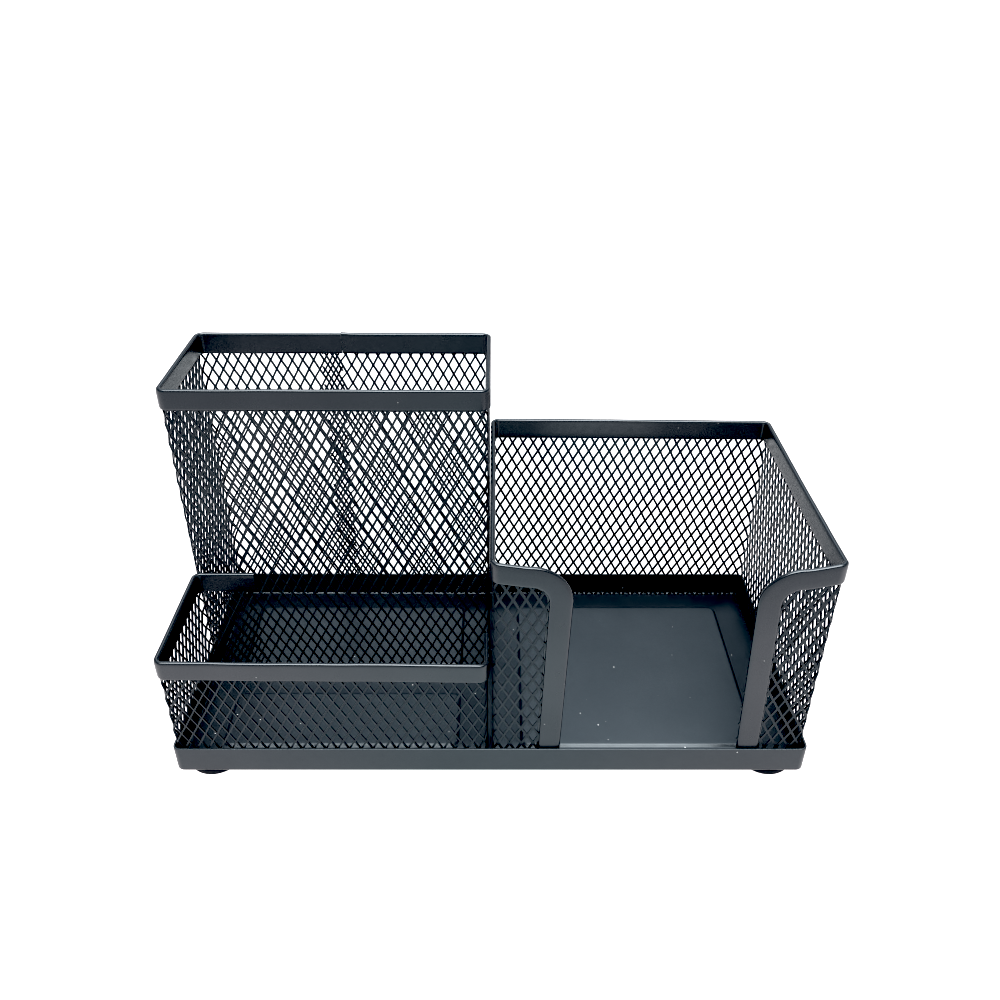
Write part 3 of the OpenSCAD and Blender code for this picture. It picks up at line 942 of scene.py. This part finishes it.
# painted light: the glow's colour is cooler near the middle and warmer towards the sides
painted_glow_tint = ramp(nt, maprange(nt, ax.outputs[0], 0.015, 0.085, 0.0, 1.0), [(0.0, (0.90, 0.98, 1.0, 1)), (1.0, (1.10, 1.03, 1.05, 1))])
nt.links.new(painted_glow_tint.outputs["Color"], bs.inputs["Emission Color"])
nt.links.new(glow_and_light_pool.outputs["Result"], bs.inputs["Emission Strength"])
fm.materials.append(m)

# ------------------------------------------------------------------ world and lights
world = bpy.data.worlds.new("studio")
bpy.context.scene.world = world
world.use_nodes = True
wt = world.node_tree
wt.nodes.clear()
wo = wt.nodes.new("ShaderNodeOutputWorld")
bg = wt.nodes.new("ShaderNodeBackground")
wt.links.new(bg.outputs["Background"], wo.inputs["Surface"])
tc = wt.nodes.new("ShaderNodeTexCoord")
sep = wt.nodes.new("ShaderNodeSeparateXYZ")
wt.links.new(tc.outputs["Generated"], sep.inputs[0])


def wmath(op, a, b=None, clamp=False):
    n = wt.nodes.new("ShaderNodeMath")
    n.operation = op
    n.use_clamp = clamp
    for i, v in enumerate((a, b)):
        if v is None:
            continue
        if isinstance(v, (int, float)):
            n.inputs[i].default_value = v
        else:
            wt.links.new(v, n.inputs[i])
    return n.outputs[0]


def wstep(v, lo, hi):
    n = wt.nodes.new("ShaderNodeMapRange")
    n.interpolation_type = "SMOOTHSTEP"
    n.inputs["From Min"].default_value = lo
    n.inputs["From Max"].default_value = hi
    n.inputs["To Min"].default_value = 0.0
    n.inputs["To Max"].default_value = 1.0
    wt.links.new(v, n.inputs["Value"])
    return n.outputs["Result"]


# a pale room: light at the horizon, cooler and darker above it, dark in front where the camera stands,
# and one broad soft light overhead
def patch(el, inner, outer):
    """A soft round light in the plane of the camera: el is its elevation over the far horizon."""
    ny, nz = math.cos(math.radians(el)), math.sin(math.radians(el))
    dot = wmath("ADD", wmath("MULTIPLY", sep.outputs["Y"], ny), wmath("MULTIPLY", sep.outputs["Z"], nz))
    return wstep(dot, math.cos(math.radians(outer)), math.cos(math.radians(inner)))


def scaled(colour, fac):
    n = wt.nodes.new("ShaderNodeVectorMath")
    n.operation = "SCALE"
    if isinstance(colour, tuple):
        n.inputs[0].default_value = colour
    else:
        wt.links.new(colour, n.inputs[0])
    wt.links.new(fac, n.inputs["Scale"])
    return n.outputs[0]


def plus(a, b):
    n = wt.nodes.new("ShaderNodeVectorMath")
    n.operation = "ADD"
    wt.links.new(a, n.inputs[0])
    wt.links.new(b, n.inputs[1])
    return n.outputs[0]


TOP_L, BACK_L = 12.0, 2.45
wr = ramp(wt, sep.outputs["Z"], [(0.0, (0.92, 0.93, 0.94, 1)), (0.09, (0.86, 0.88, 0.90, 1)), (0.20, (0.26, 0.30, 0.34, 1)), (0.5, (0.17, 0.20, 0.23, 1)), (1.0, (0.17, 0.20, 0.23, 1))])
front = wmath("MULTIPLY", wstep(wmath("MULTIPLY", sep.outputs["Y"], -1.0), 0.0, 0.45), wstep(sep.outputs["Z"], 0.12, 0.25))
dim = wmath("SUBTRACT", 1.0, wmath("MULTIPLY", front, 0.90))
total = scaled(wr.outputs["Color"], dim)
total = plus(total, scaled((0.98 * TOP_L, 1.0 * TOP_L, 1.02 * TOP_L), patch(106.0, 18.0, 33.0)))
total = plus(total, scaled((0.90 * BACK_L, 0.99 * BACK_L, 1.07 * BACK_L), patch(58.0, 8.0, 36.0)))
wt.links.new(total, bg.inputs["Color"])
bg.inputs["Strength"].default_value = 1.0


sc = bpy.context.scene
sc.view_settings.view_transform = "Standard"
sc.view_settings.look = "None"
sc.view_settings.exposure = 0.0
sc.view_settings.gamma = 1.0
# levels: the photograph's blacks are deep and slightly blue, its paper is white
sc.view_settings.use_curve_mapping = True
cm = sc.view_settings.curve_mapping
cm.black_level = (0.024, 0.021, 0.017)
cm.white_level = (0.80, 0.80, 0.80)
cm.update()
sc.cycles.filter_width = 0.9

# ------------------------------------------------------------------ camera
PITCH, YAW, ROLL, FPX = 0.565477, -0.0067145, 0.0053656, 913.863
CX, CY, CZ = 1.0654, -180.2434, 206.7868
c_, s_ = math.cos(YAW), math.sin(YAW)
cp, sp = math.cos(PITCH), math.sin(PITCH)
rt = Vector((c_, s_, 0))
up = Vector((-s_ * sp, c_ * sp, cp))
fw = Vector((-s_ * cp, c_ * cp, -sp))
cr, sr = math.cos(ROLL), math.sin(ROLL)
rt2 = cr * rt + sr * up
up2 = -sr * rt + cr * up
cd = bpy.data.cameras.new("camera")
cam = bpy.data.objects.new("camera", cd)
bpy.context.scene.collection.objects.link(cam)
cd.sensor_fit = "HORIZONTAL"
cd.sensor_width = 36.0
cd.lens = FPX * 36.0 / 1000.0
cd.clip_start = 0.01
cd.clip_end = 60.0
rot = Matrix((rt2, up2, -fw)).transposed()
cam.matrix_world = Matrix.Translation(Vector(place([CX, CY, CZ]).tolist())) @ rot.to_4x4()
bpy.context.scene.camera = cam

# ------------------------------------------------------------------ the end
bpy.context.view_layer.update()
